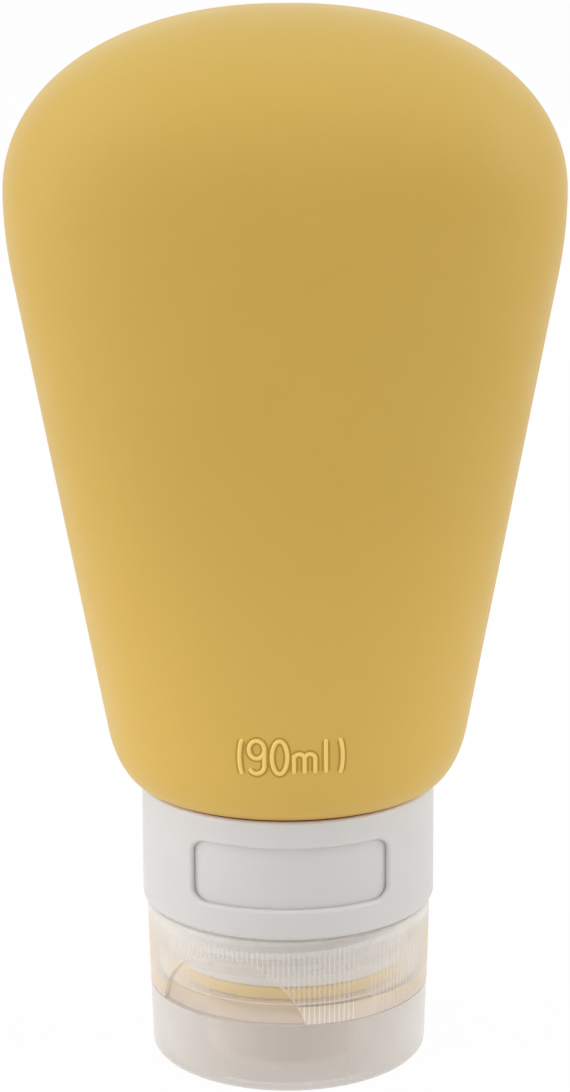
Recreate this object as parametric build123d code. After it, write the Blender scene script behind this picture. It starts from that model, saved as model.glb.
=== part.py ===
from build123d import *
import math
import os

# Travel squeeze bottle of soft silicone, standing upside down on its clear flip-top cap.
# +Z is up, and the origin is the middle of the lid's flat outer face, on the table.
# The window, the capacity mark's place and the thumb scoop face -Y. Lengths are in millimetres.

# Whole object
total_height = 116.0
running_gap = 0.3        # between curved faces that turn on each other
seat_gap = 0.1           # between flat faces that rest on each other
overrun = 1.0            # how far a cutter runs past what it cuts
embed = 0.15             # how far a ridge is sunk into the wall that carries it
pick_reach = 0.15        # how near an edge must lie to a known place to be picked for rounding

# Silicone bottle
body_width = 59.2
body_depth = 37.0
shoulder_width = 36.8    # where the straight flare meets the shoulder's level
shoulder_depth = 35.4
shoulder_round_height = 5.95   # elliptical rounding from the flare to the shoulder's underside
shoulder_round_width = 2.8
dome_rise = 19.35        # from the widest level to the top
flare_reach = 37.5       # half-height of the ellipse that leads from the widest level to the flare
top_flat_width = 6.0     # small level patch that closes the dome
dome_power = 2.1         # superellipse power of the dome seen from the front, 2 is an ellipse
oval_power = 2.5         # superellipse power of the widest level seen from above
round_power = 2.0        # the same at the shoulder, which is a plain ellipse
silicone_wall = 1.9
mouth_bore = 19.6        # diameter
neck_wall = 1.7
lip_diameter = 26.2
lip_thickness = 1.5

# Threaded neck ring
thread_pitch = 3.2
thread_depth = 0.8
thread_gap = 0.3             # between each crest and the root that it runs over
thread_root_width = 1.5
thread_crest_width = 0.7
neck_thread_rise = 4.0
neck_thread_lead_in = 1.4    # from the ring's lower end to the middle of the ridge's start
ring_bore_gap = 0.1          # round the silicone neck
upper_sleeve_diameter = 26.4
flange_thickness = 1.1
flange_gap = 0.25            # between the flange's edge and the collar's bore

# Plain ring behind the window
label_ring_diameter = 30.5
label_gap = 0.1              # between it and the collar that turns round it

# Turning collar with the window
collar_wall = 0.6
collar_height = 13.35
collar_top_round = 0.45
collar_bottom_round = 0.7
collar_bead_depth = 0.6      # inward bead that hooks under the neck ring's flange
collar_bead_height = 0.5
window_width = 20.5
window_height = 6.9
window_corner = 1.4
window_drop = 3.0            # from the collar's top edge to the window
window_edge_round = 0.35

# Clear screw cap
cap_wall = 1.3               # at the rim, outside the bore that clears the thread
cap_taper = 0.5              # how much narrower the wall's foot is
cap_base_height = 9.45
cap_thread_rise = 4.8
lip_gap = 0.35               # between the silicone lip and the thread that it passes
deck_thickness = 1.85
rim_round = 0.35
scoop_radius = 8.9
scoop_height = 7.0
scoop_depth = 0.55
scoop_turn = 29.0            # degrees from the front towards -X
spout_diameter = 15.6
spout_wall = 0.7
spout_height = 3.05
outlet_diameter = 10.4

# Valve and the ring that holds it
valve_thickness = 1.05
valve_skin = 0.7
valve_dome_diameter = 8.6
valve_dish = 1.0
valve_edge_gap = 0.1
slit_length = 5.2
slit_width = 0.12
retainer_thickness = 0.9
retainer_bore = 9.8
retainer_edge_gap = 0.05

# Flip lid
lid_height = 8.5
parting_gap = 0.15
lid_step = 0.1               # how much narrower the lid's rim is than the cap's foot
lid_taper = 0.4
lid_wall = 1.25
lid_floor = 1.4
foot_round_height = 1.75
foot_round_width = 3.8
seal_gap = 0.55              # between the ring and the spout that it goes over
seal_ring_wall = 0.85
seal_ring_height = 6.2
plug_diameter = 4.6
plug_gap = 0.35              # between the plug and the valve

# Hinge web
hinge_width = 9.0
hinge_thickness = 0.4
hinge_bend_radius = 1.0      # outside of the bend
hinge_edge_gap = 0.04

# Diameters that follow the pieces they fit
neck_diameter = mouth_bore + 2 * neck_wall
cap_thread_inner_diameter = lip_diameter + 2 * lip_gap
thread_root_diameter = cap_thread_inner_diameter - 2 * thread_gap
thread_crest_diameter = thread_root_diameter + 2 * thread_depth
cap_bore = thread_crest_diameter + 2 * thread_gap
cap_rim_diameter = cap_bore + 2 * cap_wall
collar_bore = label_ring_diameter + 2 * label_gap
collar_diameter = collar_bore + 2 * collar_wall
flange_diameter = collar_bore - 2 * flange_gap
cap_foot_diameter = cap_rim_diameter - cap_taper
lid_rim_diameter = cap_foot_diameter - lid_step
lid_foot_diameter = lid_rim_diameter - lid_taper
spout_bore = spout_diameter - 2 * spout_wall
seal_ring_bore = spout_diameter + 2 * seal_gap
seal_ring_diameter = seal_ring_bore + 2 * seal_ring_wall

# Heights, stacked from the table up
base_foot_z = lid_height + parting_gap
base_rim_z = base_foot_z + cap_base_height
deck_top_z = base_foot_z + deck_thickness
lip_foot_z = deck_top_z + seat_gap
ring_foot_z = lip_foot_z + lip_thickness + seat_gap
collar_foot_z = base_rim_z + running_gap
collar_top_z = collar_foot_z + collar_height
shoulder_z = collar_top_z + seat_gap
ring_top_z = shoulder_z - seat_gap
flange_foot_z = collar_foot_z + collar_bead_height + seat_gap
flange_top_z = flange_foot_z + flange_thickness
label_foot_z = flange_top_z + seat_gap
label_top_z = ring_top_z - seat_gap
widest_z = total_height - dome_rise
neck_thread_z = ring_foot_z + neck_thread_lead_in
cap_thread_z = neck_thread_z - thread_pitch / 2
spout_foot_z = base_foot_z - spout_height
valve_foot_z = base_foot_z - valve_thickness

# Directions of the thumb scoop and of the hinge opposite it
hinge_direction = Vector(0, 1, 0).rotate(Axis.Z, -scoop_turn)
scoop_direction = -hinge_direction
hinge_tangent = Vector(0, 0, 1).cross(hinge_direction)
hinge_flat = math.sqrt((lid_rim_diameter / 2) ** 2 - (hinge_width / 2) ** 2)
hinge_z = lid_height + parting_gap / 2
hinge_axis_distance = hinge_flat + hinge_edge_gap + hinge_bend_radius - hinge_thickness / 2

section_points = 24
shoulder_steps = 4
flare_steps = 4
dome_steps = 8


def tube(outer_diameter, inner_diameter, foot_z, top_z):
    """Plain ring about the Z axis."""
    height = top_z - foot_z
    middle = Pos(0, 0, (foot_z + top_z) / 2)
    ring = Cylinder(outer_diameter / 2, height)
    if inner_diameter:
        ring -= Cylinder(inner_diameter / 2, height + 2 * overrun)
    return middle * ring


def turned(*points):
    """Solid of revolution from points (radius, height)."""
    outline = Polyline(*[(radius, 0, height) for radius, height in points], close=True)
    return revolve(make_face(outline), Axis.Z)


def flare_half(width, low_width, level):
    """Half-width at a level: a straight flare, tangent to an ellipse that leads into the dome."""
    half, low_half = width / 2, low_width / 2
    low = (shoulder_z - widest_z) / flare_reach
    # in units of the ellipse's own half-axes, the flare is a tangent from a point to a unit circle
    reach = math.hypot(low_half / half, low)
    touch = math.atan2(low, low_half / half) + math.acos(1 / reach)
    touch_z = widest_z + flare_reach * math.sin(touch)
    touch_half = half * math.cos(touch)
    if level <= touch_z:
        share = (level - shoulder_z) / (touch_z - shoulder_z)
        return low_half + share * (touch_half - low_half)
    if level <= widest_z:
        return half * math.sqrt(1 - ((level - widest_z) / flare_reach) ** 2)
    rise = (level - widest_z) / dome_rise
    return half * max(1 - rise ** dome_power, 0) ** (1 / dome_power)


def body_levels():
    """Heights of the sections: close together at the shoulder's rounding and up the dome."""
    rounding = [shoulder_z + shoulder_round_height * (1 - math.cos(math.pi / 2 * step / shoulder_steps))
                for step in range(shoulder_steps + 1)]
    flare_foot = shoulder_z + shoulder_round_height
    flare = [flare_foot + (widest_z - flare_foot) * step / flare_steps for step in range(1, flare_steps)]
    flat_share = 1 - (top_flat_width / body_width) ** dome_power
    last = math.asin(flat_share ** 0.5)
    dome = [widest_z + dome_rise * math.sin(last * step / dome_steps) ** (2 / dome_power)
            for step in range(dome_steps + 1)]
    return rounding + flare + dome


def section(level, inset, lift):
    """Oval section of the body at a level, drawn in by inset and raised by lift."""
    half_width = flare_half(body_width, shoulder_width, level)
    half_depth = flare_half(body_depth, shoulder_depth, level)
    above = level - shoulder_z
    if above < shoulder_round_height:
        below = 1 - above / shoulder_round_height
        drawn_in = shoulder_round_width * (1 - math.sqrt(1 - below ** 2))
        half_width -= drawn_in
        half_depth -= drawn_in
    share = min(above / (widest_z - shoulder_z), 1)
    power = round_power + (oval_power - round_power) * share
    half_width -= inset
    half_depth -= inset
    points = []
    for step in range(section_points):
        turn = 2 * math.pi * step / section_points
        along, across = math.cos(turn), math.sin(turn)
        points.append((
            half_width * math.copysign(abs(along) ** (2 / power), along),
            half_depth * math.copysign(abs(across) ** (2 / power), across),
            level + lift,
        ))
    return make_face(Spline(*points, periodic=True))


def oval_solid(inset):
    """The body's outer form, or its cavity where inset is the wall's thickness."""
    levels = body_levels()
    middle = (shoulder_z + widest_z) / 2
    faces = []
    for level in levels:
        share = max(min((level - middle) / (widest_z - middle), 1), -1)
        faces.append(section(level, inset, -inset * share))
    return loft(faces)


def thread_ridge(root_diameter, crest_diameter, start_z, rise):
    """Trapezoid ridge swept along a right-hand helix. It may point outwards or inwards."""
    root, crest = root_diameter / 2, crest_diameter / 2
    inside = root - math.copysign(embed, crest - root)
    # the flanks run straight on into the wall
    spread = (thread_root_width - thread_crest_width) / abs(crest - root)
    inside_width = thread_root_width + spread * embed
    path = Pos(0, 0, start_z) * Helix(pitch=thread_pitch, height=rise, radius=root)
    profile = Polyline(
        (inside, 0, start_z - inside_width / 2),
        (crest, 0, start_z - thread_crest_width / 2),
        (crest, 0, start_z + thread_crest_width / 2),
        (inside, 0, start_z + inside_width / 2),
        close=True,
    )
    return sweep(make_face(profile), path, is_frenet=True)


def bottle_body():
    body = oval_solid(0) + tube(neck_diameter, 0, lip_foot_z, shoulder_z + silicone_wall)
    body += tube(lip_diameter, 0, lip_foot_z, lip_foot_z + lip_thickness)
    body -= oval_solid(silicone_wall)
    body -= tube(mouth_bore, 0, lip_foot_z - overrun, shoulder_z + silicone_wall + overrun)
    return body


def neck_ring():
    bore = neck_diameter + 2 * ring_bore_gap
    ring = tube(thread_root_diameter, bore, ring_foot_z, flange_foot_z)
    ring += tube(flange_diameter, bore, flange_foot_z, flange_top_z)
    ring += tube(upper_sleeve_diameter, bore, flange_top_z, ring_top_z)
    ring += thread_ridge(thread_root_diameter, thread_crest_diameter, neck_thread_z, neck_thread_rise)
    return ring


def label_ring():
    return tube(label_ring_diameter, upper_sleeve_diameter + 2 * running_gap, label_foot_z, label_top_z)


def on_window_rim(edge, window_z):
    """Whether an edge of the collar lies on its outer face, round the window."""
    ends = (edge @ 0, edge @ 1)
    outside = all(abs(math.hypot(end.X, end.Y) - collar_diameter / 2) < pick_reach for end in ends)
    at_front = all(end.Y < 0 and abs(end.X) < window_width / 2 + pick_reach for end in ends)
    return outside and at_front and abs(edge.center().Z - window_z) < window_height / 2 + pick_reach


def window_collar():
    ring = Pos(0, 0, collar_foot_z + collar_height / 2) * Cylinder(collar_diameter / 2, collar_height)
    ring = fillet(ring.edges().group_by(Axis.Z)[-1], collar_top_round)
    ring = fillet(ring.edges().group_by(Axis.Z)[0], collar_bottom_round)
    ring -= tube(collar_bore, 0, collar_foot_z + collar_bead_height, collar_top_z + overrun)
    ring -= tube(collar_bore - 2 * collar_bead_depth, 0, collar_foot_z - overrun, collar_top_z)
    window_z = collar_top_z - window_drop - window_height / 2
    opening = Plane.XZ * RectangleRounded(window_width, window_height, window_corner)
    opening = Pos(0, 0, window_z) * extrude(opening, collar_diameter / 2 + overrun)
    ring -= opening
    rim = [edge for edge in ring.edges() if on_window_rim(edge, window_z)]
    return fillet(rim, window_edge_round)


def cap_scoop():
    """Arched thumb recess: a level cylinder pointing out of the wall, less the wall behind it."""
    reach = cap_rim_diameter / 2 + overrun
    arch_z = base_foot_z + scoop_height - scoop_radius
    arch = Plane(origin=(0, 0, arch_z), z_dir=scoop_direction) * Circle(scoop_radius)
    kept_diameter = cap_foot_diameter - 2 * scoop_depth
    behind = tube(kept_diameter, 0, base_foot_z - scoop_radius, base_rim_z + overrun)
    return extrude(arch, reach) - behind


def hinge_facet(foot_z, top_z):
    """Block that cuts a flat for the hinge web on the back of the wall."""
    depth = cap_rim_diameter / 2
    block = Box(hinge_width, depth, top_z - foot_z)
    middle = hinge_direction * (hinge_flat + depth / 2)
    plane = Plane(origin=middle, x_dir=hinge_tangent, z_dir=(0, 0, 1))
    return Pos(0, 0, (foot_z + top_z) / 2) * (plane * block)


def cap_base():
    rim, foot = cap_rim_diameter / 2, cap_foot_diameter / 2
    shell = turned((0, base_foot_z), (foot, base_foot_z), (rim, base_rim_z), (0, base_rim_z))
    shell = fillet(shell.edges().group_by(Axis.Z)[-1], rim_round)
    shell -= tube(cap_bore, 0, deck_top_z, base_rim_z + overrun)
    shell += thread_ridge(cap_bore, cap_thread_inner_diameter, cap_thread_z, cap_thread_rise)
    shell -= tube(outlet_diameter, 0, base_foot_z - overrun, deck_top_z + overrun)
    shell += tube(spout_diameter, spout_bore, spout_foot_z, base_foot_z)
    shell -= cap_scoop()
    shell -= hinge_facet(base_foot_z - overrun, deck_top_z)
    return shell


def dished(rim_radius, rim_z, depth):
    """Round arc from a rim down to its lowest point on the axis."""
    radius = (rim_radius ** 2 + depth ** 2) / (2 * depth)
    half_turn = math.asin(rim_radius / radius) / 2
    low_z = rim_z - depth
    middle = (radius * math.sin(half_turn), 0, low_z + radius * (1 - math.cos(half_turn)))
    return ThreePointArc((rim_radius, 0, rim_z), middle, (0, 0, low_z))


def drip_valve():
    """Flat rim with a thin dished skin in the middle and a cross slit through the skin."""
    outer = spout_bore / 2 - valve_edge_gap
    dome = valve_dome_diameter / 2
    top_z = valve_foot_z + valve_thickness
    skin_top_z = top_z - valve_dish
    outline = make_face([
        Polyline((dome, 0, top_z), (outer, 0, top_z), (outer, 0, valve_foot_z), (dome, 0, valve_foot_z)),
        dished(dome, top_z, valve_dish),
        Line((0, 0, skin_top_z), (0, 0, skin_top_z - valve_skin)),
        dished(dome, valve_foot_z, valve_foot_z - skin_top_z + valve_skin),
    ])
    disc = revolve(outline, Axis.Z)
    for turn in (0, 90):
        slit = Rot(0, 0, turn) * Box(slit_length, slit_width, 2 * spout_height)
        disc -= Pos(0, 0, valve_foot_z) * slit
    return disc


def valve_retainer():
    outer = spout_bore - 2 * retainer_edge_gap
    return tube(outer, retainer_bore, valve_foot_z - retainer_thickness, valve_foot_z)


def flip_lid():
    foot, rim = lid_foot_diameter / 2, lid_rim_diameter / 2
    flat = foot - foot_round_width
    outline = Plane.XZ * EllipticalCenterArc((flat, foot_round_height), foot_round_width,
                                             foot_round_height, -90, arc_size=90)
    outline += Polyline(outline @ 1, (rim, 0, lid_height), (0, 0, lid_height), (0, 0, 0), outline @ 0)
    lid = revolve(make_face(outline), Axis.Z)
    lid -= turned((0, lid_floor), (foot - lid_wall, lid_floor), (rim - lid_wall, lid_height + overrun),
                  (0, lid_height + overrun))
    ring_top = lid_floor + seal_ring_height
    lid += tube(seal_ring_diameter, seal_ring_bore, lid_floor, ring_top)
    valve_low_z = valve_foot_z + valve_thickness - valve_dish - valve_skin
    lid += tube(plug_diameter, 0, lid_floor, valve_low_z - plug_gap)
    lid -= hinge_facet(lid_height - 2 * hinge_bend_radius, lid_height + overrun)
    return lid


def lid_hinge():
    """Thin web bent outwards in a half circle from the lid's flat to the base's flat."""
    start = hinge_flat + hinge_edge_gap
    plane = Plane(origin=hinge_direction * start + Vector(0, 0, hinge_z), x_dir=hinge_direction,
                  z_dir=-hinge_tangent)
    web = Circle(hinge_bend_radius) - Circle(hinge_bend_radius - hinge_thickness)
    web &= Pos(hinge_bend_radius / 2, 0) * Rectangle(hinge_bend_radius, 2 * hinge_bend_radius)
    return extrude(plane * web, hinge_width / 2, both=True)


os.makedirs("parts", exist_ok=True)
for make in (bottle_body, neck_ring, label_ring, window_collar, cap_base,
             drip_valve, valve_retainer, flip_lid, lid_hinge):
    export_step(make(), f"parts/{make.__name__}.step")

cavity = oval_solid(silicone_wall).volume + math.pi * (mouth_bore / 2) ** 2 * (shoulder_z - lip_foot_z)
print(f"brimful volume {cavity / 1000:.1f} ml")
hinge_place = hinge_direction * hinge_axis_distance + Vector(0, 0, hinge_z)
print(f"lid hinge at {hinge_place}, direction {-hinge_tangent}")
print(f"screw thread {thread_pitch / (2 * math.pi):.6f} mm per radian")
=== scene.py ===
import math

import bmesh
import bpy
import numpy as np
from mathutils import Matrix, Vector


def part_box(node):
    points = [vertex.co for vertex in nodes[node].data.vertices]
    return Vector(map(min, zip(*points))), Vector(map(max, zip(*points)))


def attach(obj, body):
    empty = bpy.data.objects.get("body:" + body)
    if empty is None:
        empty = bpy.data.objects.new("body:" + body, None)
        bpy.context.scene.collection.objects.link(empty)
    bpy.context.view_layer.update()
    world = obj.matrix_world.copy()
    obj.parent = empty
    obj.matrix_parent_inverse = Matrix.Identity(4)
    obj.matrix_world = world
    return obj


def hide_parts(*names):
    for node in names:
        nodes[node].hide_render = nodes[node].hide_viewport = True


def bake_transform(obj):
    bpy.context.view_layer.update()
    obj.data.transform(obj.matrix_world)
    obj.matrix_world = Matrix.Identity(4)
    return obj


# Soft yellow travel bottle standing on its clear flip-top cap. Metres, +Z up, the window faces -Y.

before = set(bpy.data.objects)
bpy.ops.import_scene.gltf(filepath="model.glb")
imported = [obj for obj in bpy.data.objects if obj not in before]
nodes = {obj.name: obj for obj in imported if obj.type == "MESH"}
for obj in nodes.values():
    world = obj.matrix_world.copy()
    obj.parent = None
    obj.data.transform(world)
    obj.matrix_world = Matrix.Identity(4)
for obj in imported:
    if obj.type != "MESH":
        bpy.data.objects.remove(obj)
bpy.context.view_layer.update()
print("frame loaded with", len(nodes), "nodes")


# Grids and meshes

def gridQuads(rows, columns, closeRows=False, closeColumns=True):
    # one quad between each pair of neighbouring rows and columns, as vertex numbers
    rowCount = rows if closeRows else rows - 1
    columnCount = columns if closeColumns else columns - 1
    row = np.arange(rowCount)[:, None]
    column = np.arange(columnCount)[None, :]
    nextRow = (row + 1) % rows
    nextColumn = (column + 1) % columns
    corners = [row * columns + column, row * columns + nextColumn,
               nextRow * columns + nextColumn, nextRow * columns + column]
    shape = (rowCount, columnCount)
    return np.stack([np.broadcast_to(corner, shape) for corner in corners], -1).reshape(-1, 4)


def poleTriangles(ringStart, columns, pole):
    # a fan that closes one ring of vertices with a single point
    column = np.arange(columns)
    ring = ringStart + column
    following = ringStart + (column + 1) % columns
    return np.stack([ring, following, np.full(columns, pole)], -1)


def endFans(rows, columns):
    # fans on the first and the last ring, to two points that follow the grid's own
    return np.concatenate([poleTriangles(0, columns, rows * columns)[:, ::-1],
                           poleTriangles((rows - 1) * columns, columns, rows * columns + 1)])


def enclosedVolume(points, faces):
    # sum of the signed wedges between each face and the origin
    first = points[faces[:, 0]]
    wedges = [np.einsum("ij,ij->i", first, np.cross(points[faces[:, k]], points[faces[:, k + 1]]))
              for k in range(1, faces.shape[1] - 1)]
    return float(sum(wedge.sum() for wedge in wedges)) / 6


def addObject(name, data):
    item = bpy.data.objects.new(name, data)
    bpy.context.scene.collection.objects.link(item)
    return item


def meshPiece(name, points, quads, triangles=None, sharpAngle=None, weld=0.0):
    # a closed surface whose faces are turned outwards by the sign of the volume they enclose
    points = np.asarray(points, float).reshape(-1, 3)
    triangles = np.empty((0, 3), int) if triangles is None else triangles
    volume = enclosedVolume(points, quads)
    if len(triangles):
        volume += enclosedVolume(points, triangles)
    if volume < 0:
        quads = quads[:, ::-1]
        triangles = triangles[:, ::-1]
    mesh = bpy.data.meshes.new(name)
    mesh.from_pydata(points.tolist(), [], quads.tolist() + triangles.tolist())
    if weld:
        shell = bmesh.new()
        shell.from_mesh(mesh)
        bmesh.ops.remove_doubles(shell, verts=shell.verts, dist=weld)
        bmesh.ops.dissolve_degenerate(shell, edges=shell.edges, dist=weld)
        shell.to_mesh(mesh)
        shell.free()
    mesh.polygons.foreach_set("use_smooth", np.ones(len(mesh.polygons), bool))
    if sharpAngle:
        mesh.set_sharp_from_angle(angle=math.radians(sharpAngle))
    mesh.update()
    print(f"  {name}: {len(mesh.vertices)} vertices, {len(mesh.polygons)} faces")
    return addObject(name, mesh)


def arc(centreRadius, centreZ, radius, fromDegrees, toDegrees, steps):
    # points (radius, height) on a circle's arc, 0 degrees outwards and 90 degrees up
    turn = np.radians(np.linspace(fromDegrees, toDegrees, steps))
    return np.stack([centreRadius + radius * np.cos(turn), centreZ + radius * np.sin(turn)], -1)


# Nodes, and the node groups that several materials use

def addNode(tree, kind, settings=None, **inputs):
    # a node with its inputs set or linked: a socket is linked, anything else is a value, and i2
    # names the input at place 2
    node = tree.nodes.new(kind)
    for key, value in (settings or {}).items():
        setattr(node, key, value)
    for key, value in inputs.items():
        socket = node.inputs[int(key[1:]) if key[0] == "i" and key[1:].isdigit() else key]
        if isinstance(value, bpy.types.NodeSocket):
            tree.links.new(value, socket)
        else:
            socket.default_value = value
    return node


def addMath(tree, operation, *values, clamp=False):
    settings = {"operation": operation, "use_clamp": clamp}
    inputs = {f"i{place}": value for place, value in enumerate(values)}
    return addNode(tree, "ShaderNodeMath", settings, **inputs).outputs[0]


def addVector(tree, operation, *values, **inputs):
    inputs.update({f"i{place}": value for place, value in enumerate(values)})
    return addNode(tree, "ShaderNodeVectorMath", {"operation": operation}, **inputs).outputs


def mixColour(tree, share, first, second):
    node = addNode(tree, "ShaderNodeMix", {"data_type": "RGBA"}, i0=share, i6=first, i7=second)
    return node.outputs[2]


def mapRange(tree, value, low, high, start=0.0, end=1.0, curve="LINEAR"):
    return addNode(tree, "ShaderNodeMapRange", {"interpolation_type": curve},
                   i0=value, i1=low, i2=high, i3=start, i4=end).outputs[0]


def softRange(tree, value, low, high, start=0.0, end=1.0):
    return mapRange(tree, value, low, high, start, end, "SMOOTHSTEP")


def noise(tree, place, scale, detail, roughness=0.5):
    return addNode(tree, "ShaderNodeTexNoise", Vector=place, Scale=scale, Detail=detail,
                   Roughness=roughness).outputs[0]


def split(tree, vector):
    return addNode(tree, "ShaderNodeSeparateXYZ", i0=vector).outputs


def combine(tree, x, y, z):
    return addNode(tree, "ShaderNodeCombineXYZ", i0=x, i1=y, i2=z).outputs[0]


def turnNormal(tree, normal, fromSpace, toSpace):
    settings = {"vector_type": "NORMAL", "convert_from": fromSpace, "convert_to": toSpace}
    return addNode(tree, "ShaderNodeVectorTransform", settings, i0=normal).outputs[0]


def mixShaders(tree, share, first, second):
    mixed = addNode(tree, "ShaderNodeMixShader", i0=share, i1=first, i2=second)
    tree.links.new(mixed.outputs[0], tree.nodes["Material Output"].inputs["Surface"])


def socketKind(label):
    if label in {"Vector", "Normal"}:
        return "NodeSocketVector"
    return "NodeSocketColor" if label in {"Color", "Other", "Speck"} else "NodeSocketFloat"


def newGroup(name, output, inputs):
    # the group, its given values to link from, and its one result to link to
    group = bpy.data.node_groups.new(name, "ShaderNodeTree")
    for label, value in inputs.items():
        socket = group.interface.new_socket(name=label, in_out="INPUT",
                                            socket_type=socketKind(label))
        if value is not None:
            socket.default_value = value
    group.interface.new_socket(name=output, in_out="OUTPUT", socket_type=socketKind(output))
    given, made = group.nodes.new("NodeGroupInput"), group.nodes.new("NodeGroupOutput")
    return group, given.outputs, made.inputs[0]


def makeTintDrift():
    # broad cloudy change between two colours, as pigment and handling give it
    group, given, made = newGroup("tintDrift", "Color", {
        "Vector": None, "Color": None, "Other": None, "Scale": 60.0, "Amount": 0.3})
    cloud = noise(group, given["Vector"], given["Scale"], detail=3.0, roughness=0.55)
    share = mapRange(group, cloud, low=0.35, high=0.65)
    share = addMath(group, "MULTIPLY", share, given["Amount"])
    group.links.new(mixColour(group, share, given["Color"], given["Other"]), made)
    return group


def makeDustSpecks():
    # a few tiny dots of lint: one in some cells of a cell pattern, each of its own size
    group, given, made = newGroup("dustSpecks", "Color", {
        "Vector": None, "Color": None, "Speck": None, "Scale": 120.0, "Size": 0.04, "Share": 0.2})
    cells = addNode(group, "ShaderNodeTexVoronoi", Vector=given["Vector"], Scale=given["Scale"])
    random = addNode(group, "ShaderNodeSeparateColor", i0=cells.outputs["Color"]).outputs
    chosen = addMath(group, "LESS_THAN", random[0], given["Share"])
    reach = addMath(group, "MULTIPLY", random[1], given["Size"])
    near = addMath(group, "LESS_THAN", cells.outputs["Distance"], reach)
    faint = addMath(group, "MULTIPLY", addMath(group, "MULTIPLY", chosen, near), random[2])
    group.links.new(mixColour(group, faint, given["Color"], given["Speck"]), made)
    return group


def makeFineGrain():
    # moulded skin: fine noise on top of a slow ripple, as a height for a Bump node
    group, given, made = newGroup("fineGrain", "Height", {
        "Vector": None, "Scale": 3000.0, "Ripple Scale": 200.0, "Ripple": 0.5})
    fine = noise(group, given["Vector"], given["Scale"], detail=2.0)
    slow = noise(group, given["Vector"], given["Ripple Scale"], detail=1.0)
    slow = addMath(group, "MULTIPLY", slow, given["Ripple"])
    group.links.new(addMath(group, "ADD", fine, slow), made)
    return group


def makeGlossDrift():
    # roughness that wanders between two values over the surface
    group, given, made = newGroup("glossDrift", "Roughness", {
        "Vector": None, "Scale": 150.0, "Low": 0.3, "High": 0.4})
    cloud = noise(group, given["Vector"], given["Scale"], detail=4.0)
    gloss = mapRange(group, cloud, low=0.3, high=0.7, start=given["Low"], end=given["High"])
    group.links.new(gloss, made)
    return group


def makeHeightTint():
    # a slow change from one colour to another between two heights
    group, given, made = newGroup("heightTint", "Color", {
        "Vector": None, "Color": None, "Other": None, "From": 0.0, "To": 0.1})
    share = softRange(group, split(group, given["Vector"])[2], given["From"], given["To"])
    group.links.new(mixColour(group, share, given["Color"], given["Other"]), made)
    return group


def makeSoftBand():
    # 1 between two limits of a value, with soft borders outside them
    group, given, made = newGroup("softBand", "Mask", {
        "Value": 0.0, "Low": 0.0, "High": 1.0, "Softness": 0.0005})
    value, low, high, soft = (given[label] for label in ("Value", "Low", "High", "Softness"))
    rise = softRange(group, value, addMath(group, "SUBTRACT", low, soft), low)
    fall = softRange(group, value, high, addMath(group, "ADD", high, soft), 1.0, 0.0)
    group.links.new(addMath(group, "MULTIPLY", rise, fall), made)
    return group


def makeRibHighlightLines():
    # painted highlight lines along each rib's crest: (0.5 + 0.5 cos(count * turn)) to a power, and
    # none in two plain bands, whose distance is wrapped so that they may lie across the seam of the
    # turn
    group, given, made = newGroup("ribHighlightLines", "Mask", {
        "Vector": None, "Count": 174.0, "Sharpness": 3.0, "Band A": 0.0, "Band B": 0.0,
        "Band Half": 0.05})
    place = split(group, given["Vector"])
    turn = addMath(group, "ARCTAN2", place[1], place[0])
    wave = addMath(group, "COSINE", addMath(group, "MULTIPLY", turn, given["Count"]))
    mask = addMath(group, "POWER", mapRange(group, wave, -1.0, 1.0), given["Sharpness"])
    for centre in ("Band A", "Band B"):
        apart = addMath(group, "SUBTRACT", turn, given[centre])
        apart = addMath(group, "ABSOLUTE", addMath(group, "WRAP", apart, math.pi, -math.pi))
        outside = addMath(group, "GREATER_THAN", apart, given["Band Half"])
        mask = addMath(group, "MULTIPLY", mask, outside)
    group.links.new(mask, made)
    return group


def makeSmoothWall():
    # the surface's normal with the ribs' sideways lean taken out, but for a share that is kept:
    # radial unit vector * (normal . radial) + kept share * tangent part + the normal's own height
    group, given, made = newGroup("smoothWall", "Normal", {
        "Vector": None, "Normal": None, "Kept": 0.3})
    place = split(group, given["Vector"])
    radial = addVector(group, "NORMALIZE", combine(group, place[0], place[1], 0.0))[0]
    own = turnNormal(group, given["Normal"], "WORLD", "OBJECT")
    outward = addVector(group, "DOT_PRODUCT", own, radial)["Value"]
    radialPart = addVector(group, "SCALE", radial, Scale=outward)[0]
    heightPart = combine(group, 0.0, 0.0, split(group, own)[2])
    smooth = addVector(group, "ADD", radialPart, heightPart)[0]
    lean = addVector(group, "SUBTRACT", own, smooth)[0]
    leanPart = addVector(group, "SCALE", lean, Scale=given["Kept"])[0]
    total = addVector(group, "ADD", smooth, leanPart)[0]
    group.links.new(turnNormal(group, total, "OBJECT", "WORLD"), made)
    return group


groups = {
    "tintDrift": makeTintDrift(),
    "dustSpecks": makeDustSpecks(),
    "fineGrain": makeFineGrain(),
    "glossDrift": makeGlossDrift(),
    "heightTint": makeHeightTint(),
    "softBand": makeSoftBand(),
    "ribHighlightLines": makeRibHighlightLines(),
    "smoothWall": makeSmoothWall(),
}
print("node groups made")


def useGroup(tree, name, **inputs):
    return addNode(tree, "ShaderNodeGroup", {"node_tree": groups[name]}, **inputs).outputs[0]


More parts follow.
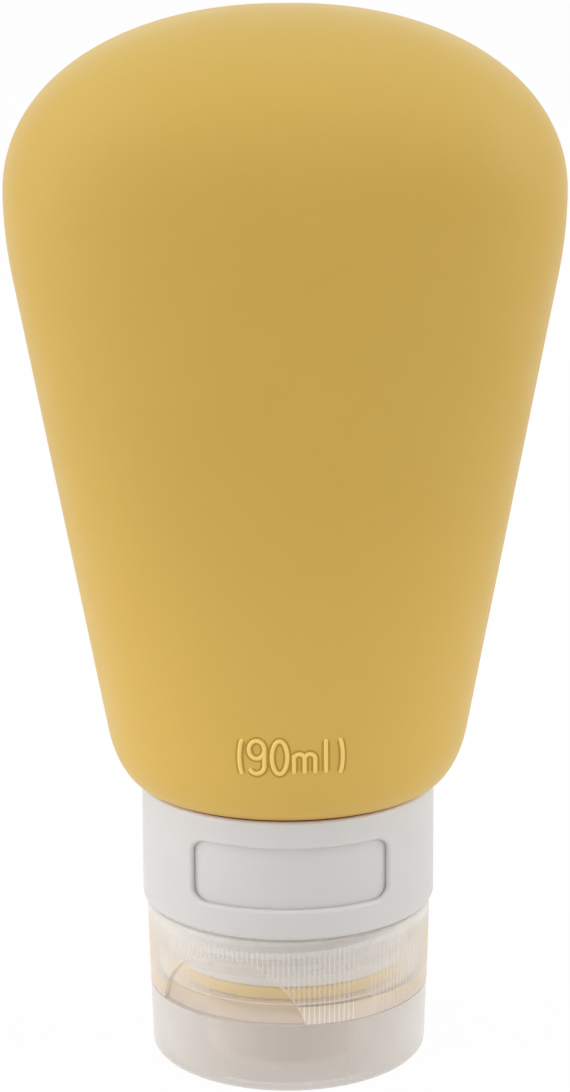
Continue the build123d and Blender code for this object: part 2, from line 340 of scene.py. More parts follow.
def mouldedMaterial(name, finish):
    # one moulded finish: clouded colour, wandering gloss, fine grain, and the shader's own values
    material = bpy.data.materials.new(name)
    material.use_nodes = True
    tree = material.node_tree
    shader = tree.nodes["Principled BSDF"]
    place = addNode(tree, "ShaderNodeTexCoord").outputs["Object"]
    colour = useGroup(tree, "tintDrift", Vector=place, Color=(*finish["colour"], 1),
                      Other=(*finish["otherColour"], 1), Scale=finish["cloudScale"],
                      Amount=finish["cloudAmount"])
    if "specks" in finish:
        specks = finish["specks"]
        colour = useGroup(tree, "dustSpecks", Vector=place, Color=colour,
                          Speck=(*specks["colour"], 1), Scale=specks["scale"],
                          Size=specks["size"], Share=specks["share"])
    # painted light and shade: each band lays a lit or shaded colour over the surface between two
    # heights
    for tint, low, high in finish.get("paintedLightBands", []):
        colour = useGroup(tree, "heightTint", Vector=place, Color=(*tint, 1), Other=colour,
                          From=low, To=high)
    if "veil" in finish:
        colour = cloudyClear(tree, shader, place, colour, finish)
    tree.links.new(colour, shader.inputs["Base Color"])
    smoothest, roughest = finish["rough"]
    gloss = useGroup(tree, "glossDrift", Vector=place, Scale=finish["glossScale"],
                     Low=smoothest, High=roughest)
    tree.links.new(gloss, shader.inputs["Roughness"])
    grain = useGroup(tree, "fineGrain", Vector=place, Scale=finish["grainScale"],
                     Ripple=finish["ripple"])
    bump = addNode(tree, "ShaderNodeBump", Height=grain, Strength=finish["grainStrength"],
                   Distance=finish["grainDepth"])
    tree.links.new(bump.outputs[0], shader.inputs["Normal"])
    for socket, value in finish["sockets"].items():
        shader.inputs[socket].default_value = value
    if "passShadow" in finish:
        letLightThrough(tree, shader, finish["passShadow"])
    return material


def cloudyClear(tree, shader, place, colour, finish):
    # cloudy clear plastic is a thin veil where it is seen square on, and denser towards its edges,
    # where it is thick, and along the crests of its ribs. Painted light: a warm glow of the yellow
    # silicone's light in its thick parts, an orange rim at a grazing slant for the yellow bottle
    # refracted through the wall, and highlight lines along the rib crests
    unlimited, crisp = 1.0, 0.00003        # past the whole bottle, and an all but hard border

    def band(value, low, high, softness):
        return useGroup(tree, "softBand", Value=value, Low=low, High=high, Softness=softness)

    x, y, height = split(tree, place)
    radius = addVector(tree, "LENGTH", combine(tree, x, y, 0.0))["Value"]
    bare = addNode(tree, "ShaderNodeNewGeometry").outputs["Normal"]
    normal = useGroup(tree, "smoothWall", Vector=place, Normal=bare, Kept=finish["ribShare"])
    slant = addNode(tree, "ShaderNodeLayerWeight", Blend=0.5, Normal=normal).outputs["Facing"]
    density = softRange(tree, slant, 0.0, 1.0, *finish["veil"])

    # thick parts: denser, and painted with a warm glow of light from the yellow silicone
    thickAndGlow = finish["thickAndGlow"]
    measured = height if thickAndGlow["along"] == "height" else radius
    mask = band(measured, -unlimited, thickAndGlow["limit"], thickAndGlow["softness"])
    lowest, highest = thickAndGlow["heights"]
    paintedGlow = useGroup(tree, "heightTint", Vector=place, Color=(*thickAndGlow["lowColour"], 1),
                    Other=(*thickAndGlow["colour"], 1), From=lowest, To=highest)
    colour = mixColour(tree, mask, colour, paintedGlow)
    density = addMath(tree, "MAXIMUM", density, addMath(tree, "MULTIPLY", mask, thickAndGlow["veil"]))
    # painted refraction: an orange tint at a grazing slant, for the yellow bottle seen bent through
    # the wall
    if "edge" in finish:
        edge = finish["edge"]
        rim = softRange(tree, slant, *edge["slant"])
        rim = addMath(tree, "MULTIPLY", rim, band(height, *edge["heights"], edge["softness"]))
        colour = mixColour(tree, rim, colour, (*edge["colour"], 1))
    if "scoop" in finish:
        scoop = finish["scoop"]
        cleared = addMath(tree, "MULTIPLY", band(radius, *scoop["radii"], crisp), scoop["clears"])
        density = addMath(tree, "MULTIPLY", density, addMath(tree, "SUBTRACT", 1.0, cleared))
    # painted highlight lines along the rib crests, with a little added density
    if "ribs" in finish:
        ribs = finish["ribs"]
        crest = useGroup(tree, "ribHighlightLines", Vector=place, Count=ribs["count"],
                         Sharpness=ribs["sharpness"], **ribs["plainBands"])
        limits = [band(radius, ribs["inner"], unlimited, crisp),
                  band(height, -unlimited, ribs["top"], ribs["topSoftness"]),
                  softRange(tree, slant, *ribs["fade"], 1.0, 0.0)]
        for limit in limits:
            crest = addMath(tree, "MULTIPLY", crest, limit)
        colour = mixColour(tree, crest, colour, (*ribs["colour"], 1))
        added = addMath(tree, "MULTIPLY", crest, ribs["veil"])
        density = addMath(tree, "ADD", density, added, clamp=True)
    tree.links.new(density, shader.inputs["Alpha"])
    return colour


def letLightThrough(tree, shader, tint):
    # clear plastic throws only a faint shadow: shadow rays see a plain tinted sheet
    path = addNode(tree, "ShaderNodeLightPath")
    sheet = addNode(tree, "ShaderNodeBsdfTransparent", Color=(*tint, 1))
    mixShaders(tree, path.outputs["Is Shadow Ray"], shader.outputs[0], sheet.outputs[0])


siliconeSurface = {
    "cloudScale": 45.0, "cloudAmount": 0.6, "glossScale": 220.0,
    "grainScale": 2600.0, "ripple": 0.6, "grainDepth": 0.0001,
}
siliconeSheen = {
    "Sheen Weight": 0.30, "Sheen Roughness": 0.45, "Sheen Tint": (1.0, 0.90, 0.62, 1), "IOR": 1.41,
}
whiteSurface = {
    "cloudScale": 70.0, "cloudAmount": 0.5, "glossScale": 260.0, "rough": (0.36, 0.46),
    "grainScale": 3200.0, "ripple": 0.5, "grainStrength": 0.08, "grainDepth": 0.00006,
}
clearSurface = {
    "cloudScale": 90.0, "cloudAmount": 0.6, "glossScale": 300.0,
    "grainScale": 2400.0, "ripple": 0.8, "grainDepth": 0.00008,
    "sockets": {"IOR": 1.49}, "passShadow": (0.985, 0.98, 0.975),
}
# Scales are in cells for each metre, and heights, radii, limits and softness in metres. A painted
# light band is a colour, the height where it is full and the height where it has gone: it paints
# light or shade into the colour. Slants run from 0, seen square on, to 1, seen along the surface.
# Veils are shares of
# Alpha, and plain bands are turns about +Z in radians.
finishes = {
    "yellowSilicone": {
        **siliconeSurface, "rough": (0.46, 0.56), "grainStrength": 0.12,
        "colour": (0.612, 0.392, 0.069), "otherColour": (0.642, 0.417, 0.080),
        # painted light: highlight on the dome's top, floor light on the lower body, contact shade at
        # the collar, light on the shaded lip
        "paintedLightBands": [((0.700, 0.470, 0.100), 0.1145, 0.0990), ((0.700, 0.455, 0.091), 0.038, 0.078),
                  ((0.700, 0.340, 0.040), 0.0319, 0.0327), ((0.800, 0.545, 0.110), 0.0125, 0.0140)],
        "specks": {"colour": (0.20, 0.11, 0.04), "scale": 110.0, "size": 0.045, "share": 0.25},
        "sockets": {**siliconeSheen, "Subsurface Weight": 0.12, "Subsurface Radius": (1.0, 0.55, 0.2),
                    "Subsurface Scale": 0.0012},
    },
    # painted highlight: the strokes are a lighter yellow, as if their raised tops caught the light
    "markSiliconePaintedHighlight": {
        **siliconeSurface, "rough": (0.42, 0.52), "grainStrength": 0.10, "sockets": siliconeSheen,
        "colour": (0.910, 0.665, 0.175), "otherColour": (0.930, 0.690, 0.190),
    },
    # painted shade: a darker orange strip round the strokes, where the raised letters shade the skin
    "markPaintedShade": {
        **siliconeSurface, "rough": (0.48, 0.58), "grainStrength": 0.12,
        "sockets": {**siliconeSheen, "Sheen Weight": 0.20},
        "colour": (0.500, 0.275, 0.032), "otherColour": (0.530, 0.300, 0.040),
    },
    "whitePlastic": {
        **whiteSurface, "colour": (0.684, 0.667, 0.650), "otherColour": (0.704, 0.690, 0.676),
        "sockets": {"IOR": 1.49, "Subsurface Weight": 0.35, "Subsurface Radius": (1.0, 0.95, 0.9),
                    "Subsurface Scale": 0.0009},
    },
    # painted light: a whiter copy of the white plastic against the shade inside the cap, whiter still
    # at its top under the collar's shadow
    "neckPlasticPaintedLight": {
        **whiteSurface, "colour": (0.770, 0.750, 0.730), "otherColour": (0.790, 0.775, 0.755),
        "paintedLightBands": [((0.980, 0.965, 0.945), 0.0180, 0.0145)], "sockets": {"IOR": 1.49},
    },
    "clearPlastic": {
        **clearSurface, "rough": (0.12, 0.18), "grainStrength": 0.05,
        "veil": (0.19, 0.85), "ribShare": 0.25,
        "colour": (0.860, 0.815, 0.765), "otherColour": (0.880, 0.845, 0.795),
        # deck and parts below: denser thick plastic, painted with the yellow silicone's warm glow,
        # pinker lower down
        "thickAndGlow": {"along": "height", "limit": 0.0106, "softness": 0.0003, "veil": 0.60,
                  "colour": (0.980, 0.830, 0.640), "lowColour": (0.910, 0.790, 0.690),
                  "heights": (0.0090, 0.0104)},
        # painted refraction of the yellow bottle: orange at a grazing slant, between the lip's
        # heights
        "edge": {"slant": (0.50, 0.95), "heights": (0.0125, 0.0150), "softness": 0.0018,
                 "colour": (0.880, 0.740, 0.540)},
        "scoop": {"radii": (0.0146, 0.01495), "clears": 0.20},
        # painted highlight: pale lines along the rib crests, fading where the wall is seen at a slant
        "ribs": {"count": 174.0, "sharpness": 5.0, "inner": 0.01505, "top": 0.0168,
                 "plainBands": {"Band A": -1.0420, "Band B": 3.1712, "Band Half": 0.0733},
                 "topSoftness": 0.0004, "fade": (0.12, 0.34), "colour": (0.98, 0.96, 0.92),
                 "veil": 0.20},
    },
    "clearLid": {
        **clearSurface, "rough": (0.18, 0.26), "grainStrength": 0.06,
        "veil": (0.26, 0.90), "ribShare": 1.0,
        "colour": (0.780, 0.730, 0.685), "otherColour": (0.800, 0.755, 0.715),
        # lid's middle: denser, with a painted warm glow of light from the silicone inside
        "thickAndGlow": {"along": "radius", "limit": 0.0082, "softness": 0.0028, "veil": 0.60,
                  "colour": (0.840, 0.745, 0.680), "lowColour": (0.860, 0.730, 0.640),
                  "heights": (0.0004, 0.0020)},
    },
    "clearSilicone": {
        "colour": (0.840, 0.790, 0.720), "otherColour": (0.860, 0.815, 0.755),
        "cloudScale": 120.0, "cloudAmount": 0.5, "glossScale": 300.0, "rough": (0.30, 0.42),
        "grainScale": 3000.0, "ripple": 0.4, "grainStrength": 0.08, "grainDepth": 0.00005,
        "sockets": {"Transmission Weight": 0.7, "IOR": 1.41}, "passShadow": (0.82, 0.78, 0.72),
    },
}
materials = {name: mouldedMaterial(name, finish) for name, finish in finishes.items()}
print("materials made:", ", ".join(materials))


# Silicone bottle: outer skin, shoulder, neck, lip, mouth and cavity in one closed skin

bottle = {
    "width": 0.0592, "depth": 0.0370,                      # at the widest level
    "shoulderWidth": 0.0368, "shoulderDepth": 0.0354,
    "roundHeight": 0.00595, "roundWidth": 0.0028,          # from the flare to the shoulder's foot
    "topZ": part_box("bottle_body")[1].z, "domeRise": 0.01935, "flareReach": 0.0375,
    "shoulderZ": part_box("window_collar")[1].z + 0.00003,
    "domePower": 2.1, "ovalPower": 2.5, "roundPower": 2.0,
    "wall": 0.0019, "mouthRadius": 0.0098, "neckRadius": 0.0115,
    "lipZ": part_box("bottle_body")[0].z, "lipRadius": 0.0131, "lipThickness": 0.0015,
    "lipRound": 0.00035,
    "domeSteps": 56, "flareSteps": 66, "roundSteps": 22, "columns": 288,
    "neckSteps": 8, "mouthSteps": 6, "creaseSteps": 4, "lipSteps": 5,
}
bottle["widestZ"] = bottle["topZ"] - bottle["domeRise"]


def flareHalf(width, lowWidth, levels):
    # a straight flare that runs tangent into an ellipse, up to the widest level, then the dome's
    # superellipse
    half, lowHalf = width / 2, lowWidth / 2
    reach, above = bottle["flareReach"], levels - bottle["widestZ"]
    low = (bottle["shoulderZ"] - bottle["widestZ"]) / reach
    touch = math.atan2(low, lowHalf / half) + math.acos(1 / math.hypot(lowHalf / half, low))
    touchZ = bottle["widestZ"] + reach * math.sin(touch)
    share = (levels - bottle["shoulderZ"]) / (touchZ - bottle["shoulderZ"])
    flare = lowHalf + share * (half * math.cos(touch) - lowHalf)
    under = half * np.sqrt(1 - np.clip(above / reach, -1, 1) ** 2)
    power = bottle["domePower"]
    over = half * (1 - np.clip(above / bottle["domeRise"], 0, 1) ** power) ** (1 / power)
    return np.where(levels <= touchZ, flare, np.where(above <= 0, under, over))


def ovalPowerAt(levels):
    # the section is an ellipse at the shoulder and squarer at the widest level
    share = np.clip((levels - bottle["shoulderZ"]) / (bottle["widestZ"] - bottle["shoulderZ"]), 0, 1)
    return bottle["roundPower"] + (bottle["ovalPower"] - bottle["roundPower"]) * share


def ovalRows(inset):
    # rows (half width, half depth, height, power) from just under the top down to the shoulder
    turn = np.linspace(math.pi / 2, 0, bottle["domeSteps"])[1:]
    along = np.sin(turn) ** (2 / bottle["domePower"])
    across = np.cos(turn) ** (2 / bottle["domePower"])
    domeZ = bottle["widestZ"] + (bottle["domeRise"] - inset) * along
    dome = [(bottle["width"] / 2 - inset) * across, (bottle["depth"] / 2 - inset) * across, domeZ,
            np.full(len(turn), bottle["ovalPower"])]
    levels = np.linspace(bottle["widestZ"], bottle["shoulderZ"] + bottle["roundHeight"],
                         bottle["flareSteps"])[1:]
    bend = np.linspace(0, math.pi / 2, bottle["roundSteps"])[1:]
    roundLevels = bottle["shoulderZ"] + bottle["roundHeight"] * (1 - np.sin(bend))
    drawnIn = np.concatenate([np.zeros(len(levels)), bottle["roundWidth"] * (1 - np.cos(bend))])
    levels = np.concatenate([levels, roundLevels])
    lift = inset * (bottle["widestZ"] - levels) / (bottle["widestZ"] - bottle["shoulderZ"])
    low = [flareHalf(bottle["width"], bottle["shoulderWidth"], levels) - drawnIn - inset,
           flareHalf(bottle["depth"], bottle["shoulderDepth"], levels) - drawnIn - inset,
           levels + lift, ovalPowerAt(levels)]
    return np.concatenate([np.stack(dome, -1), np.stack(low, -1)])


def roundRows(points):
    # rows of plain rings from points (radius, height)
    points = np.asarray(points)
    power = np.full(len(points), bottle["roundPower"])
    return np.stack([points[:, 0], points[:, 0], points[:, 1], power], -1)


def neckRows():
    # down the neck's outside, round the lip, up the mouth and on to the cavity's floor
    neck, mouth, lip = bottle["neckRadius"], bottle["mouthRadius"], bottle["lipRadius"]
    low, high, bend = bottle["lipZ"], bottle["lipZ"] + bottle["lipThickness"], bottle["lipRound"]
    crease, edge = bottle["creaseSteps"], bottle["lipSteps"]
    floorZ = bottle["shoulderZ"] + bottle["wall"]
    down = np.linspace(bottle["shoulderZ"], high + bend, bottle["neckSteps"])
    up = np.linspace(low + bend, floorZ - bend, bottle["mouthSteps"])
    return roundRows(np.concatenate([
        [(neck, z) for z in down],
        arc(neck + bend, high + bend, bend, 180, 270, crease)[1:],
        arc(lip - bend, high - bend, bend, 90, 0, edge),
        arc(lip - bend, low + bend, bend, 0, -90, edge),
        arc(mouth + bend, low + bend, bend, 270, 180, edge),
        [(mouth, z) for z in up[1:]],
        arc(mouth + bend, floorZ - bend, bend, 180, 90, crease)[1:],
    ]))


def bottleSkin():
    # rows of superellipse rings, x = a |cos|^(2/p) and y = b |sin|^(2/p), with a point at each end
    rows = np.concatenate([ovalRows(0), neckRows(), ovalRows(bottle["wall"])[::-1]])
    turn = 2 * math.pi * np.arange(bottle["columns"]) / bottle["columns"]
    cosine, sine = np.cos(turn)[None, :], np.sin(turn)[None, :]
    share = 2 / rows[:, 3:4]
    x = rows[:, 0:1] * np.sign(cosine) * np.abs(cosine) ** share
    y = rows[:, 1:2] * np.sign(sine) * np.abs(sine) ** share
    z = np.broadcast_to(rows[:, 2:3], x.shape)
    poles = [(0, 0, bottle["topZ"]), (0, 0, bottle["topZ"] - bottle["wall"])]
    points = np.concatenate([np.stack([x, y, z], -1).reshape(-1, 3), poles])
    count, columns = len(rows), bottle["columns"]
    skin = meshPiece("bottle_skin", points, gridQuads(count, columns), endFans(count, columns))
    skin.data.materials.append(materials["yellowSilicone"])
    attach(skin, "bottle")
    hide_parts("bottle_body")


bottleSkin()
print("bottle made")


# Raised capacity mark: rounded strokes that lie on the front of the bottle, lighter as a painted
# highlight, over a wide flat strip of painted shade

mark = {
    "centreX": -0.00042, "baseZ": 0.03785, "height": 0.0036,
    "strokeRadius": 0.00023, "raise": 0.9, "sink": 0.00002,
    # the wide, nearly flat strip under the strokes that carries the painted shade round them
    "footRadius": 0.00050, "shadeRaise": 0.09,
    "endLimit": 0.98,                                      # ends are drawn in almost to a point
    "pathSteps": 72, "ringSteps": 12,
}


def frontPoint(x, z):
    # the point of the front skin at a place across and a height
    halfWidth = flareHalf(bottle["width"], bottle["shoulderWidth"], z)
    halfDepth = flareHalf(bottle["depth"], bottle["shoulderDepth"], z)
    power = ovalPowerAt(z)
    y = -halfDepth * (1 - np.abs(x / halfWidth) ** power) ** (1 / power)
    return np.stack([x, y, z], -1)


def frontNormal(x, z, step=0.0001):
    # outward normal from small steps across and up
    across = frontPoint(x + step, z) - frontPoint(x - step, z)
    up = frontPoint(x, z + step) - frontPoint(x, z - step)
    normal = np.cross(across, up)
    return normal / np.linalg.norm(normal, axis=-1, keepdims=True)


def ellipseStroke(centreX, centreZ, halfWidth, halfHeight, fromDegrees=0, toDegrees=360):
    turn = np.radians(np.linspace(fromDegrees, toDegrees, mark["pathSteps"]))
    return np.stack([centreX + halfWidth * np.cos(turn), centreZ + halfHeight * np.sin(turn)], -1)


def line(x0, z0, x1, z1):
    share = np.linspace(0, 1, mark["pathSteps"])[:, None]
    return np.array([x0, z0]) * (1 - share) + np.array([x1, z1]) * share


def markStrokes():
    # paths (across, up) in shares of the digits' height, and whether each one closes on itself
    middle = 0.5
    leftX, rightX, bulge, reach, spread = -1.37, 1.63, 0.15, 0.60, 65
    nineX, nineHalf, bowlHalf, tailZ, tailDegrees = -0.87, 0.225, 0.27, 0.24, -158
    zeroX, zeroHalf = -0.205, 0.225
    stemX, stemTop, archHalf, archTop = 0.21, 0.60, 0.155, 0.16
    barX, barTop = 1.14, 1.04
    nineEdge, archZ = nineX + nineHalf, stemTop - archTop
    tail = [line(nineEdge, 1 - bowlHalf, nineEdge, tailZ)[:-1],
            ellipseStroke(nineX, tailZ, nineHalf, tailZ, 0, tailDegrees)]
    arches = []
    for k in (1, 3):
        archX, legX = stemX + k * archHalf, stemX + (k + 1) * archHalf
        arches.append([ellipseStroke(archX, archZ, archHalf, archTop, 180, 0)[:-1],
                       line(legX, archZ, legX, 0)])
    return [
        (ellipseStroke(leftX + bulge, middle, bulge, reach, 180 - spread, 180 + spread), False),
        (ellipseStroke(rightX - bulge, middle, bulge, reach, -spread, spread), False),
        (ellipseStroke(nineX, 1 - bowlHalf, nineHalf, bowlHalf), True),
        (np.concatenate(tail), False),
        (ellipseStroke(zeroX, middle, zeroHalf, middle), True),
        (line(stemX, 0, stemX, stemTop), False),
        *((np.concatenate(arch), False) for arch in arches),
        (line(barX, 0, barX, barTop), False),
    ]


def evenly(path, count, closed):
    # the same path at even steps of its length, with the length up to each point and in all
    lengths = np.concatenate([[0], np.cumsum(np.linalg.norm(np.diff(path, axis=0), axis=1))])
    wanted = np.linspace(0, lengths[-1], count, endpoint=not closed)
    even = np.stack([np.interp(wanted, lengths, path[:, k]) for k in (0, 1)], -1)
    return even, wanted, lengths[-1]


def strokeTube(path, closed, strokeRadius, raised):
    # a flattened round tube on the skin: path + side r cos + normal r sin, drawn in to a round end
    scaled = path * mark["height"] + np.array([mark["centreX"], mark["baseZ"]])
    scaled, run, length = evenly(scaled, mark["pathSteps"], closed)
    x, z = scaled[:, 0], scaled[:, 1]
    centre, normal = frontPoint(x, z), frontNormal(x, z)
    if closed:
        tangent = np.roll(centre, -1, axis=0) - np.roll(centre, 1, axis=0)
        radius = np.full(len(x), strokeRadius)
    else:
        tangent = np.gradient(centre, axis=0)
        fromEnd = np.minimum(run, length - run) / strokeRadius
        radius = strokeRadius * np.sqrt(1 - np.clip(1 - fromEnd, 0, mark["endLimit"]) ** 2)
    tangent /= np.linalg.norm(tangent, axis=1, keepdims=True)
    side = np.cross(normal, tangent)
    turn = 2 * math.pi * np.arange(mark["ringSteps"]) / mark["ringSteps"]
    out = radius[:, None] * np.sin(turn) * raised - mark["sink"]
    points = (centre[:, None] + side[:, None] * (radius[:, None] * np.cos(turn))[..., None]
              + normal[:, None] * out[..., None])
    count, ring = mark["pathSteps"], mark["ringSteps"]
    points = points.reshape(-1, 3)
    quads = gridQuads(count, ring, closeRows=closed)
    if closed:
        return points, quads, np.empty((0, 3), int)
    return np.concatenate([points, centre[[0, -1]]]), quads, endFans(count, ring)


def markPiece(name, finish, strokeRadius, raised):
    # all the strokes in one mesh, each of them turned outwards on its own
    points, quads, triangles, start = [], [], [], 0
    for path, closed in markStrokes():
        places, sides, ends = strokeTube(path, closed, strokeRadius, raised)
        order = -1 if enclosedVolume(places, sides) < 0 else 1
        points.append(places)
        quads.append(sides[:, ::order] + start)
        triangles.append(ends[:, ::order] + start)
        start += len(places)
    piece = meshPiece(name, *(np.concatenate(part) for part in (points, quads, triangles)))
    piece.data.materials.append(materials[finish])
    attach(piece, "bottle")


# lighter strokes as a painted highlight, then the wide dark strip of painted shade under them
markPiece("capacity_mark", "markSiliconePaintedHighlight", mark["strokeRadius"], mark["raise"])
markPiece("capacity_mark_shade", "markPaintedShade", mark["footRadius"], mark["shadeRaise"])
print("capacity mark made")


# Clear screw base of the cap: ribbed wall with a thumb scoop, thread inside, deck and spout

cap = {
    "footZ": 0.00865, "rimZ": 0.0181, "deckZ": 0.0105,
    "footRadius": 0.0153, "rimRadius": 0.01555, "rimRound": 0.00035, "footRound": 0.00012,
    "bore": 0.01425, "boreRound": 0.0002,
    "ribs": 174, "samples": 6, "ribDepth": 0.00010, "ribTopZ": 0.01695, "ribFade": 0.00025,
    "ribFadeShares": (0.35, 0.65, 1.0), "wallSteps": 7, "rimSteps": 7, "boreSteps": 4,
    "plainTurns": (30.3, -88.3), "plainHalf": 4.2,         # turns: degrees from the front, to +X
    "scoopTurn": -29.0, "scoopRadius": 0.0089, "scoopHeight": 0.0070, "scoopDepth": 0.00055,
    "scoopFadeDegrees": 10.0,
    "facetDistance": math.sqrt(0.01525 ** 2 - 0.0045 ** 2), "facetHalf": 0.0045,
    "facetHeight": 0.00185, "facetDegrees": 60,            # searched for only this near its middle
    "threadStart": 0.0120, "threadPitch": 0.0032, "threadTurns": 1.5, "threadDepth": 0.0008,
    "threadRoot": 0.0015, "threadCrest": 0.0007, "threadRunOut": 0.08, "coils": (-2, 3),
    "outlet": 0.0052, "spoutBore": 0.0071, "spoutRadius": 0.0078, "spoutFootZ": 0.0056,
}


def fromFront(turn, degrees):
    # signed angle in degrees between a turn about Z and a direction given from the front
    return (np.degrees(turn) + 90 - degrees + 180) % 360 - 180


def plainRows(turn, points):
    # rows of one radius and one height each, from points (radius, height)
    return [(np.full(len(turn), radius), np.full(len(turn), z)) for radius, z in points]


def outerWall(turn):
    # rows of the outside: up to the scoop's arch or the hinge's flat, then ribs, then a smooth rim
    low, high = cap["footZ"], cap["rimZ"] - cap["rimRound"]
    away = fromFront(turn, cap["scoopTurn"])
    across = cap["footRadius"] * np.sin(np.radians(away))
    archZ = low + cap["scoopHeight"] - cap["scoopRadius"]
    footSquare = cap["scoopRadius"] ** 2 - (low - archZ) ** 2
    inArch = (np.abs(away) < 90) & (across ** 2 < footSquare)
    arch = archZ + np.sqrt(np.clip(cap["scoopRadius"] ** 2 - across ** 2, 0, None))
    archEnd = np.degrees(np.arcsin(math.sqrt(footSquare) / cap["footRadius"]))
    easeShare = np.clip((np.abs(away) - archEnd) / cap["scoopFadeDegrees"], 0, 1)
    edgeZ = np.where(inArch, arch, low + cap["facetHeight"] * easeShare)
    backAway = fromFront(turn, cap["scoopTurn"] + 180)
    near = cap["facetDegrees"]
    facet = cap["facetDistance"] / np.cos(np.radians(np.clip(backAway, -near, near)))
    onFacet = np.abs(facet * np.sin(np.radians(backAway))) < cap["facetHalf"]
    onFacet &= np.abs(backAway) < near

    def plain(z):
        share = (z - low) / (cap["rimZ"] - low)
        return cap["footRadius"] + (cap["rimRadius"] - cap["footRadius"]) * share

    wave = 0.5 - 0.5 * np.cos(cap["ribs"] * turn)
    for centre in cap["plainTurns"]:
        edge = (np.abs(fromFront(turn, centre)) - cap["plainHalf"]) * math.radians(1)
        wave = wave * np.clip(edge * cap["ribs"] / math.pi, 0, 1)

    rows = []
    for share in np.linspace(0, 1, cap["wallSteps"]):
        z = low + (edgeZ - low) * share
        ribbed = plain(z) - cap["ribDepth"] * wave
        sunk = np.where(inArch, cap["footRadius"] - cap["scoopDepth"], ribbed)
        radius = np.where(onFacet, np.minimum(facet, sunk), sunk)
        rows.append((radius, z))
    fadeLow = cap["ribTopZ"] - cap["ribFade"]
    for share in np.linspace(0, 1, cap["wallSteps"]):
        z = edgeZ + (fadeLow - edgeZ) * share
        rows.append((plain(z) - cap["ribDepth"] * wave, z))
    for share in cap["ribFadeShares"]:
        z = np.full(len(turn), fadeLow + 2 * cap["ribFade"] * share)
        fade = 0.5 + 0.5 * math.cos(math.pi * share)
        rows.append((plain(z) - cap["ribDepth"] * wave * fade, z))
    rim, bore = cap["rimRound"], cap["boreRound"]
    outer = arc(cap["rimRadius"] - rim, high, rim, 0, 90, cap["rimSteps"])
    inner = arc(cap["bore"] + bore, cap["rimZ"] - bore, bore, 90, 180, cap["boreSteps"])
    return rows + plainRows(turn, outer) + plainRows(turn, inner)


def threadRows(turn):
    # the inside wall as one long spiral of rows, so that the rows run along the thread's edges;
    # rows past the deck or the rim are held at that height and welded together
    root, crest = cap["threadRoot"] / 2, cap["threadCrest"] / 2
    offsets = np.array([-root, -(root + crest) / 2, -crest, 0, crest, (root + crest) / 2, root,
                        cap["threadPitch"] / 2])
    depths = np.array([0, 0.5, 1, 1, 1, 0.5, 0, 0]) * cap["threadDepth"]
    low, high = cap["deckZ"], cap["rimZ"] - cap["boreRound"]
    turns = turn / (2 * math.pi)
    rows = []
    for coil in range(*cap["coils"]):
        wound = coil + turns
        ease = np.clip(np.minimum(wound, cap["threadTurns"] - wound) / cap["threadRunOut"], 0, 1)
        for offset, depth in zip(offsets, depths):
            z = cap["threadStart"] + cap["threadPitch"] * wound + offset
            rows.append((cap["bore"] - depth * ease, np.clip(z, low, high)))
    return rows[::-1]


def lowerParts():
    # points (radius, height) from the deck inwards, down the outlet and round the spout's wall
    foot, spoutLow, bend = cap["footZ"], cap["spoutFootZ"], cap["footRound"]
    outlet, bore, spout = cap["outlet"], cap["spoutBore"], cap["spoutRadius"]
    return [
        (outlet + bend, cap["deckZ"]), (outlet, cap["deckZ"] - bend), (outlet, foot + bend),
        (outlet + bend, foot), (bore, foot), (bore, spoutLow + bend), (bore + bend, spoutLow),
        (spout - bend, spoutLow), (spout, spoutLow + bend), (spout, foot),
    ]


def ribbedBase():
    # three grids that share their border rings: outside, spiral inside wall, and the parts below
    columns = cap["ribs"] * cap["samples"]
    turn = 2 * math.pi * np.arange(columns + 1) / columns
    outside = outerWall(turn)
    rows = outside + threadRows(turn) + plainRows(turn, lowerParts()) + outside[:1]
    radius, height = (np.stack(part) for part in zip(*rows))
    points = np.stack([radius * np.cos(turn), radius * np.sin(turn), height], -1)
    quads = gridQuads(len(rows), columns + 1, closeColumns=False)
    piece = meshPiece("ribbed_base", points, quads, sharpAngle=40, weld=1e-6)
    piece.data.materials.append(materials["clearPlastic"])
    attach(piece, "cap")
    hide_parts("cap_base")


ribbedBase()
print("clear base made")


# Hinge web: a thin strip bent in a half circle from the lid's edge to the base's edge

web = {
    "turn": 29.0,                                          # degrees from the back, to +X
    "start": cap["facetDistance"] + 0.00004, "z": 0.008575,
    "outer": 0.0010, "thickness": 0.0004, "halfWidth": 0.0045, "bendSteps": 33, "widthSteps": 25,
}


def hingeWeb():
    # a closed section (outer arc out, inner arc back) carried along the hinge's own line
    bend = np.radians(np.linspace(-90, 90, web["bendSteps"]))
    outer = np.stack([web["outer"] * np.cos(bend), web["outer"] * np.sin(bend)], -1)
    inner = outer[::-1] * (1 - web["thickness"] / web["outer"])
    section = np.concatenate([outer, inner])
    turn, up = math.radians(web["turn"]), np.array([0, 0, 1])
    direction = np.array([math.sin(turn), math.cos(turn), 0])
    along = np.cross(up, direction)
    places = np.linspace(-1, 1, web["widthSteps"]) * web["halfWidth"]
    corner = direction * web["start"] + up * web["z"]
    out, high = section[:, None, 0, None], section[:, None, 1, None]
    points = corner + direction * out + up * high + along * places[None, :, None]
    count, columns = section.shape[0], web["widthSteps"]
    quads = gridQuads(count, columns, closeRows=True, closeColumns=False)
    half = web["bendSteps"]
    step = np.arange(half - 1)
    facing = 2 * half - 1 - step
    ends = [np.stack([step, step + 1, facing - 1, facing], -1) * columns,
            np.stack([facing, facing - 1, step + 1, step], -1) * columns + columns - 1]
    piece = meshPiece("hinge_web", points, np.concatenate([quads, *ends]), sharpAngle=40)
    piece.data.materials.append(materials["clearPlastic"])
    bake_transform(piece)
    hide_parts("lid_hinge")


hingeWeb()
print("hinge web made")


